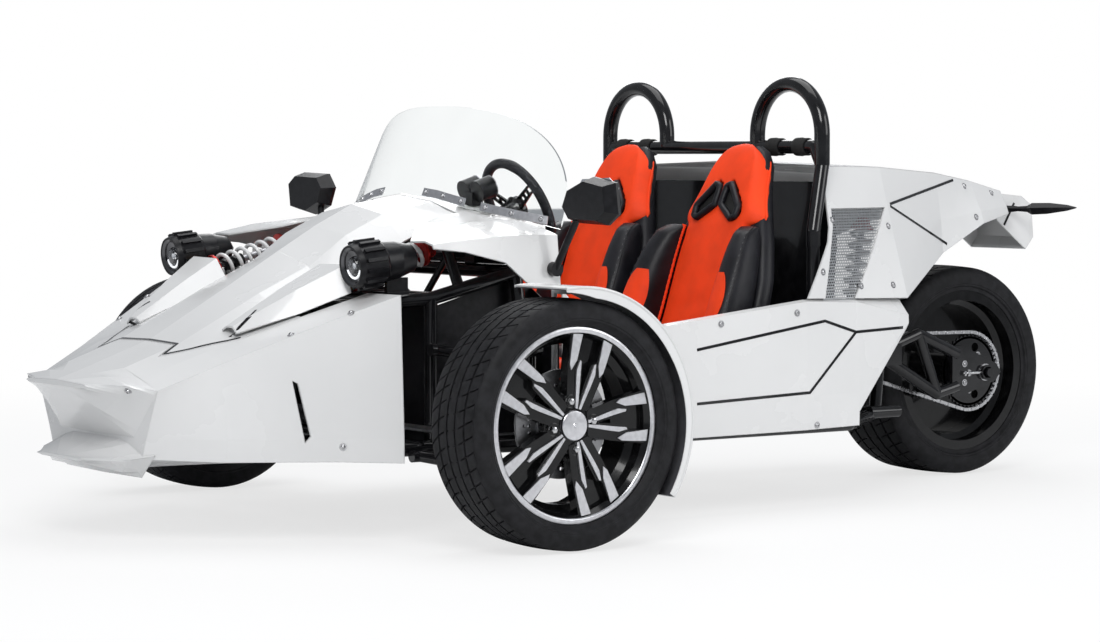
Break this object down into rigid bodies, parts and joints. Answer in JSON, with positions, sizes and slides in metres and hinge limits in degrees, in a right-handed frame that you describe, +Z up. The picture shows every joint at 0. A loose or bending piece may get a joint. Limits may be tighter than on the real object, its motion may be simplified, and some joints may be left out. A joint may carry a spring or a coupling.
{
  "type": "three wheeled roadster",
  "caption": "Open roadster with two steered front wheels, one chain driven rear wheel, bucket seats, roll hoops and a low windshield.",
  "frame": {"origin": "on the ground, in the middle of the overall length and width", "axes": "+X to the rear, nose along -X; +Z up; the car's left side is -Y"},
  "size_m": [3.1519, 1.934, 1.1438],
  "materials": {
    "white_body": "gloss",
    "tyre_rubber": "matte",
    "alloy": "machined",
    "black_alloy": "gloss",
    "disc_steel": "satin",
    "machined": "satin",
    "frame_black": "gloss",
    "steel": "satin",
    "cast_alloy": "satin",
    "floor_alloy": "satin",
    "black_trim": "satin",
    "wheel_grip": "matte",
    "seat_trim": "matte",
    "clear": "gloss",
    "red_lamp": "gloss"
  },
  "bodies": {
    "chassis": {"nose_shell": "white_body", "bonnet": "white_body", "cowl": "white_body", "side_panel_left": "white_body", "side_panel_right": "white_body", "rear_quarter_left": "white_body", "rear_quarter_right": "white_body", "rear_deck": "white_body", "tail_panel": "white_body", "chain": "disc_steel", "floor_frame": "frame_black", "front_frame": "frame_black", "rear_frame": "frame_black", "front_wishbones": "frame_black", "roll_hoops": "frame_black", "swingarm": "frame_black", "steering_column": "frame_black", "rear_bulkhead": "frame_black", "front_coilovers": "steel", "rear_shock": "steel", "exhaust": "steel", "engine_block": "cast_alloy", "steering_rack_housing": "cast_alloy", "floor_pan": "floor_alloy", "vent_meshes": "floor_alloy", "dashboard": "black_trim", "instrument_pod": "black_trim", "headlamps": "black_trim", "mirrors": "black_trim", "rear_indicators": "black_trim", "seat_left": "seat_trim", "seat_right": "seat_trim", "windshield": "clear", "tail_lamp": "red_lamp"},
    "knuckle_left": {"front_knuckle_left": "machined", "front_fender_left": "white_body"},
    "knuckle_right": {"front_knuckle_right": "machined", "front_fender_right": "white_body"},
    "wheel_front_left": {"front_rim_left": "alloy", "front_tyre_left": "tyre_rubber", "front_disc_left": "disc_steel"},
    "wheel_front_right": {"front_rim_right": "alloy", "front_tyre_right": "tyre_rubber", "front_disc_right": "disc_steel"},
    "rear_wheel": {"rear_rim": "black_alloy", "rear_tyre": "tyre_rubber", "sprocket": "disc_steel", "rear_disc": "disc_steel"},
    "steering_rack": {"steering_rack_and_tie_rods": "steel"},
    "steering_wheel_body": {"steering_wheel": "wheel_grip"}
  },
  "joints": [
    {"name": "steer_left", "type": "hinge", "parent": "chassis", "child": "knuckle_left", "pos_m": [-0.696, -0.74, 0.298], "axis": [0, 0, 1], "range_deg": [-28, 28]},
    {"name": "steer_right", "type": "hinge", "parent": "chassis", "child": "knuckle_right", "pos_m": [-0.696, 0.74, 0.298], "axis": [0, 0, 1], "range_deg": [-28, 28]},
    {"name": "rack_slide", "type": "slide", "parent": "chassis", "child": "steering_rack", "axis": [0, 1, 0], "range_m": [-0.058, 0.058]},
    {"name": "steering_wheel_turn", "type": "hinge", "parent": "chassis", "child": "steering_wheel_body", "pos_m": [-0.396, -0.262, 0.795], "axis": [0.9136, 0, 0.4067], "range_deg": [-170, 170]},
    {"name": "spin_front_left", "type": "hinge", "parent": "knuckle_left", "child": "wheel_front_left", "pos_m": [-0.696, -0.86, 0.298], "axis": [0, 1, 0], "continuous": true},
    {"name": "spin_front_right", "type": "hinge", "parent": "knuckle_right", "child": "wheel_front_right", "pos_m": [-0.696, 0.86, 0.298], "axis": [0, 1, 0], "continuous": true},
    {"name": "spin_rear", "type": "hinge", "parent": "chassis", "child": "rear_wheel", "pos_m": [1.271, 0, 0.305], "axis": [0, 1, 0], "continuous": true}
  ],
  "couplings": [
    {"joint": "steer_right", "follows": "steer_left", "ratio": 1},
    {"joint": "rack_slide", "follows": "steer_left", "m_per_rad": -0.118},
    {"joint": "steering_wheel_turn", "follows": "steer_left", "ratio": 6}
  ]
}
